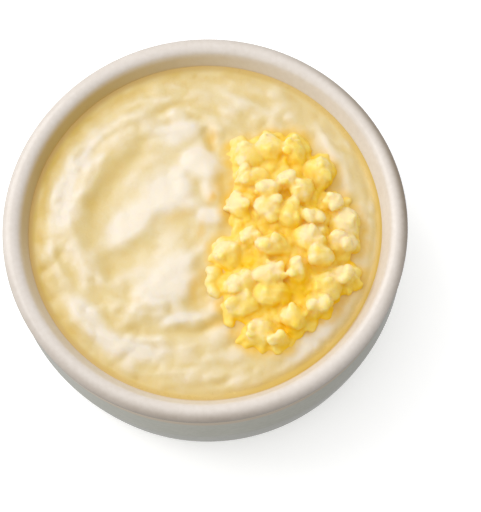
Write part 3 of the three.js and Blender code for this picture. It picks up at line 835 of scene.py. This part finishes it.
def joined_balls(name, balls):
    """One mesh that holds all the balls, each a closed body."""
    ball_points, ball_faces = unit_ball()
    points, faces = [], []
    for number, (place, radii, turn) in enumerate(balls):
        x, y, z = (ball_points * flattened(ball_points, number) * radii).T
        cos, sin = math.cos(turn), math.sin(turn)
        points.append(np.column_stack([x * cos - y * sin, x * sin + y * cos, z]) + place)
        faces.append(ball_faces + number * len(ball_points))
    points = np.vstack(points)
    for seed, width, shifts in CURD_WARP:
        bend = [shift * lattice_noise(seed + axis, points, width) for axis, shift in enumerate(shifts)]
        points += np.column_stack(bend)
    return mesh_from(name, points, np.vstack(faces).tolist())


def vertex_vectors(mesh, name):
    flat = np.empty(len(mesh.vertices) * 3)
    mesh.vertices.foreach_get(name, flat)
    return flat.reshape(-1, 3)


def lattice_noise(seed, points, width):
    """Smooth seeded noise in space with grains of about the given width, between -1 and 1."""
    table = np.random.default_rng(seed).uniform(-1, 1, [NOISE_CELLS] * 3)
    scaled = points / width
    base = np.floor(scaled).astype(int)
    share = scaled - base
    share = share * share * (3 - 2 * share)
    total = np.zeros(len(points))
    for corner in np.ndindex(2, 2, 2):
        weight = np.prod(np.where(corner, share, 1 - share), axis=1)
        cell = (base + corner) % NOISE_CELLS
        total += weight * table[cell[:, 0], cell[:, 1], cell[:, 2]]
    return total


def voxel_union(name, balls):
    """One closed mesh round all the balls, softened where they meet."""
    piece = new_object(name, joined_balls(name, balls))
    remesh = piece.modifiers.new("union", "REMESH")
    remesh.mode = "VOXEL"
    remesh.voxel_size = CURD_VOXEL * MM
    smooth = piece.modifiers.new("soften", "SMOOTH")
    smooth.factor = CURD_SOFTENING["factor"]
    smooth.iterations = CURD_SOFTENING["times"]
    graph = bpy.context.evaluated_depsgraph_get()
    joined = bpy.data.meshes.new_from_object(piece.evaluated_get(graph))
    bpy.data.objects.remove(piece)
    return joined


def make_curds(mash_level, material):
    x, y, half_width, half_depth, turn = CORE
    size = (half_width * CORE_SHARE, half_depth * CORE_SHARE, CORE_RISE)
    core = ((x, y, field_at(mash_level, x, y)), size, turn)
    mesh = voxel_union("crumble_curds", [core, *curd_balls(mash_level), *bed_balls(mash_level)])
    points, outward = vertex_vectors(mesh, "co") / MM, vertex_vectors(mesh, "normal")
    push = sum(rise * lattice_noise(seed, points, width) for seed, width, rise in CURD_NOISE)
    points += outward * push[:, None]
    mesh.vertices.foreach_set("co", (points * MM).ravel())
    mesh.update()
    # How deep a point lies, which the colour turns into painted shade in the crevices.
    set_attribute(mesh, "depth", curd_depth(points))
    x, y, z = points.T
    set_attribute(mesh, "clear", smoothstep(z - field_at(mash_level, x, y), *CURDS_CLEAR_OF_MASH))
    # Slope away from the key light, which the colour turns into painted shade.
    set_attribute(mesh, "lee", -outward[:, :2] @ LIT_FROM)
    tints = (shift * np.exp(-lump_span(x, y, *shape)) for *shape, shift in CURD_TINTS)
    set_attribute(mesh, "tint", sum(tints))
    return add_piece("crumble_curds", mesh, material)


def curd_depth(points):
    """How far each point lies under the heap's smoothed top, in mm."""
    side = int(2 * TOP_HALF / TOP_CELL)
    columns, rows = (points[:, :2].T + TOP_HALF) / TOP_CELL
    top = np.full((side, side), EDGE_LEVEL)
    np.maximum.at(top, (rows.astype(int), columns.astype(int)), points[:, 2])
    smoothed = sum(blur(top, width) for width in TOP_WIDTHS) / len(TOP_WIDTHS)
    return sample(smoothed, rows, columns) - points[:, 2]


# ---- Materials ----

FOOD_IOR = 1.42
NOISE_RANGE = (0.3, 0.7)  # nearly all values of a noise node lie in it
MOTTLE_RANGE = (0.34, 0.66)
MIX_SKIPPED, MIX_OUTPUT = [None] * 5, 2  # sockets before a mix node's colours, and that of its result


def linear(red, green, blue):
    """A colour from 0-255 sRGB values to linear light."""
    def channel(value):
        value /= 255
        return value / 12.92 if value <= 0.04045 else ((value + 0.055) / 1.055) ** 2.4

    return channel(red), channel(green), channel(blue), 1.0


class Nodes:
    """Short ways to add and link the shader nodes of a new material or world.

    A value is a number, a colour, a node's output or the name of an attribute of the mesh.
    """

    def __init__(self, owner, shader="Principled BSDF"):
        owner.use_nodes = True
        self.owner, self.tree = owner, owner.node_tree
        self.shader = self.tree.nodes[shader]
        self.place = self.add("TexCoord").outputs

    def add(self, kind, **settings):
        node = self.tree.nodes.new("ShaderNode" + kind)
        for key, value in settings.items():
            setattr(node, key, value)
        return node

    def feed(self, node, *values, **named):
        """Set or link the node's first sockets, and those with the names. A _ in a name is a space."""
        named = {name.replace("_", " "): value for name, value in named.items()}
        for place, value in [*enumerate(values), *named.items()]:
            if isinstance(value, str):
                value = self.add("Attribute", attribute_name=value).outputs["Fac"]
            if isinstance(value, bpy.types.NodeSocket):
                self.tree.links.new(value, node.inputs[place])
            elif value is not None:
                node.inputs[place].default_value = value

    def noise(self, width, detail=2):
        """Noise with grains of about the given width in mm."""
        node = self.add("TexNoise")
        self.feed(node, Vector=self.place["Object"], Scale=1 / (width * MM), Detail=detail)
        return node.outputs["Fac"]

    def remap(self, value, low, high, to_low=0, to_high=1):
        """The value taken from the range low to high to another range, and held within that."""
        node = self.add("MapRange")
        self.feed(node, value, low, high, to_low, to_high)
        return node.outputs["Result"]

    def noise_between(self, low, high, width, detail=2):
        return self.remap(self.noise(width, detail), *NOISE_RANGE, low, high)

    def math(self, operation, *values):
        node = self.add("Math", operation=operation)
        self.feed(node, *values)
        return node.outputs["Value"]

    def total(self, *parts):
        """The sum of (value, weight) parts."""
        result = 0
        for value, weight in parts:
            result = self.math("MULTIPLY_ADD", value, weight, result)
        return result

    def layered(self, colour, *layers):
        """The colour with (share, colour) layers over it."""
        for share, layer in layers:
            node = self.add("Mix", data_type="RGBA")
            self.feed(node, share, *MIX_SKIPPED, colour, layer)
            colour = node.outputs[MIX_OUTPUT]
        return colour

    def ramp(self, value, *stops):
        """A colour ramp from (place, colour) stops."""
        node = self.add("ValToRGB")
        self.feed(node, value)
        elements = node.color_ramp.elements
        while len(elements) < len(stops):
            elements.new(0.5)
        for element, (place, colour) in zip(elements, stops):
            element.position = place
            element.color = colour
        return node.outputs["Color"]

    def mottled(self, noise, spread, light, dark):
        """A colour between light and dark, as the noise goes through the spread."""
        return self.ramp(noise, (spread[0], linear(*light)), (spread[1], linear(*dark)))

    def bump(self, height, depth, strength):
        node = self.add("Bump")
        self.feed(node, Height=height, Distance=depth * MM, Strength=strength)
        return node.outputs["Normal"]

    def shade(self, **values):
        """The material or world, with the shader's sockets set or linked."""
        self.feed(self.shader, **values)
        return self.owner


def mash_material():
    """Creamy where the mash stands up or is freshly cut, and golden in its dips, its lees and at its edge
    as painted shade.
    """
    nodes = Nodes(bpy.data.materials.new("mash"))
    # Dips, lees and the edge make the tone golden as painted shade.
    tone = nodes.total(
        (nodes.remap("hollow", -0.75, 0.95), 0.5),
        (nodes.remap("fine_hollow", -0.4, 0.5), 0.1),
        (nodes.remap("lee", -0.35, 0.6), 0.36),
        (nodes.remap("patches", -2.2, 2.2), 0.12),
        (nodes.noise_between(0, 1, 0.9, 3), 0.04),
        ("edge", 0.4),
        ("bare", -0.32),
    )
    mash = nodes.ramp(
        tone, (0.2, linear(235, 225, 207)), (0.52, linear(229, 210, 158)), (0.95, linear(227, 195, 100))
    )
    uneven = nodes.remap(nodes.noise(5), 0.3, 0.6, 0.4, 0.95)
    colour = nodes.layered(
        mash,
        (nodes.math("MULTIPLY", "soaked", uneven), linear(234, 190, 62)),
        ("pooled", linear(212, 176, 76)),
        # A painted shadow of the wall on the sheltered side.
        ("wall_shadow", linear(206, 168, 94)),
    )
    dry_roughness = nodes.noise_between(0.34, 0.52, 1.8)
    wetness = nodes.remap("pooled", 0, 1, 1, 0.4)
    grain = nodes.total((nodes.noise(0.7, 3), 0.7), (nodes.noise(0.28), 0.3))
    return nodes.shade(
        Base_Color=colour,
        Roughness=nodes.math("MULTIPLY", dry_roughness, wetness),
        IOR=FOOD_IOR,
        Coat_Weight=0.15,
        Coat_Roughness=0.2,
        Subsurface_Weight="clear",
        Subsurface_Radius=(1.0, 0.9, 0.6),
        Subsurface_Scale=1.8 * MM,
        Normal=nodes.bump(grain, 0.16, 0.6),
    )


def crumble_material():
    """Pale on top of the curds, and a deeper yellow between them and in their lees as painted shade."""
    nodes = Nodes(bpy.data.materials.new("crumble"))
    tone = nodes.total(
        # Depth and lee deepen the yellow as painted shade in crevices and on the side turned from the
        # light.
        (nodes.remap("depth", -1.3, 1.9), 0.52),
        (nodes.remap("lee", -0.9, 0.9), 0.26),
        (nodes.noise_between(-0.1, 0.16, 4), 1),
        (nodes.remap("clear", 0, 1, 0.1, 0), 1),
        ("tint", 1),
        (nodes.noise_between(0, 1, 1.6, 3), 0.12),
    )
    colour = nodes.ramp(
        tone,
        (0.14, linear(246, 224, 172)),
        (0.38, linear(248, 218, 118)),
        (0.62, linear(250, 209, 78)),
        (0.84, linear(252, 203, 18)),
    )
    return nodes.shade(
        Base_Color=colour,
        Roughness=nodes.noise_between(0.34, 0.5, 1.2),
        IOR=FOOD_IOR,
        Subsurface_Weight="clear",
        Subsurface_Radius=(1.0, 0.85, 0.22),
        Subsurface_Scale=2.8 * MM,
        Normal=nodes.bump(nodes.noise(0.5, 3), 0.14, 0.5),
    )


def bowl_material():
    """Cream glaze inside, tanned by painted shade and reflection in places and stained in others, a
    grey-green one outside, and a bare foot.
    """
    nodes = Nodes(bpy.data.materials.new("stoneware"))
    cloud = nodes.noise(14, 3)
    mottle = nodes.total((cloud, 0.45), (nodes.noise(1.5, 3), 0.55))
    colour = nodes.layered(
        nodes.mottled(mottle, MOTTLE_RANGE, (226, 218, 211), (218, 209, 200)),
        # Painted shade with a painted yellow reflection of the food on the inner glaze.
        ("inner_shade", nodes.mottled(cloud, NOISE_RANGE, (197, 169, 104), (187, 158, 92))),
        # Thin brown glaze with painted shade on the side turned from the light.
        ("thin_and_shade", nodes.mottled(mottle, MOTTLE_RANGE, (158, 144, 127), (148, 132, 114))),
        ("butter", linear(205, 166, 64)),
        # Dried food, with painted shade where food meets glaze on the sheltered side.
        ("dried_food_and_shade", linear(206, 164, 84)),
        ("wall", nodes.mottled(mottle, MOTTLE_RANGE, (209, 208, 193), (199, 198, 182))),
        ("neck", linear(214, 199, 178)),
        ("foot", nodes.mottled(nodes.noise(0.8), NOISE_RANGE, (190, 172, 146), (174, 153, 127))),
    )
    return nodes.shade(
        Base_Color=colour,
        Roughness=nodes.remap("foot", 0, 1, 0.16, 0.8),
        IOR=1.5,
        Normal=nodes.bump(nodes.noise(3.5), 0.12, 0.5),
    )


def floor_material():
    nodes = Nodes(bpy.data.materials.new("floor"))
    return nodes.shade(
        Base_Color=FLOOR_COLOUR, Roughness=0.9, Emission_Color=WHITE, Emission_Strength=FLOOR_GLOW,
    )


# ---- Stage ----

def make_floor():
    """The floor shows shadows but throws no light back, so the outer wall stays as dark as it should."""
    mesh = mesh_from("floor", [(-1, -1, 0), (1, -1, 0), (1, 1, 0), (-1, 1, 0)], [(0, 1, 2, 3)])
    mesh.transform(Matrix.Scale(FLOOR_SIZE / 2, 4))
    floor = add_piece("floor", mesh, floor_material())
    floor.visible_diffuse = False
    floor.visible_glossy = False


def make_light(name, place, size, power, colour):
    light = bpy.data.lights.new(name, "AREA")
    light.size = size * MM
    light.energy = power
    light.color = colour
    lamp = new_object(name, light)
    lamp.location = Vector(place) * MM
    toward = Vector((0, 0, EDGE_LEVEL * MM)) - lamp.location
    lamp.rotation_euler = toward.to_track_quat("-Z", "Y").to_euler()


def make_world():
    nodes = Nodes(bpy.data.worlds.new("studio"), "Background")
    toward = nodes.add("VectorMath", operation="DOT_PRODUCT")
    nodes.feed(toward, nodes.place["Generated"], WORLD_BRIGHTEST)
    strength = nodes.remap(toward.outputs["Value"], -1, 1, *WORLD_STRENGTH)
    bpy.context.scene.world = nodes.shade(Color=WHITE, Strength=strength)
    bpy.context.scene.view_settings.view_transform = "Standard"


def make_camera():
    """The camera looks down along +Y, turned by the roll, with the bowl off the middle of the frame."""
    elevation, roll = math.radians(CAMERA_ELEVATION), math.radians(CAMERA_ROLL)
    forward = Vector((0, math.cos(elevation), -math.sin(elevation)))
    level_up = Vector((0, math.sin(elevation), math.cos(elevation)))
    right = Vector((1, 0, 0)) * math.cos(roll) + level_up * math.sin(roll)
    up = -Vector((1, 0, 0)) * math.sin(roll) + level_up * math.cos(roll)
    aside = (LIP_PIXEL[0] - FRAME_WIDTH / 2) / FOCAL_PIXELS
    below = (LIP_PIXEL[1] - FRAME_HEIGHT / 2) / FOCAL_PIXELS
    sight = forward + right * aside - up * below
    lip_middle = Vector((0, 0, LIP_MIDDLE[1]))
    matrix = Matrix((right, up, -forward)).transposed().to_4x4()
    matrix.translation = (lip_middle - sight.normalized() * CAMERA_DISTANCE) * MM
    lens = bpy.data.cameras.new("camera")
    lens.sensor_width = SENSOR
    lens.lens = SENSOR * FOCAL_PIXELS / FRAME_HEIGHT
    lens.clip_start = CAMERA_NEAR * MM
    camera = new_object("camera", lens)
    camera.matrix_world = matrix
    bpy.context.scene.camera = camera


# ---- Assembly ----

make_camera()
make_world()
make_light("key", **KEY_LIGHT)
make_floor()

bowl = make_bowl(bowl_material())
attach(bowl, "root")
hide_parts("bowl")

level_field, colour_fields = mash_fields()
mash = make_mash(level_field, colour_fields, mash_material())
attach(mash, "root")
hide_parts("mash")

curds = make_curds(level_field, crumble_material())
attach(curds, "root")
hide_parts("crumble")
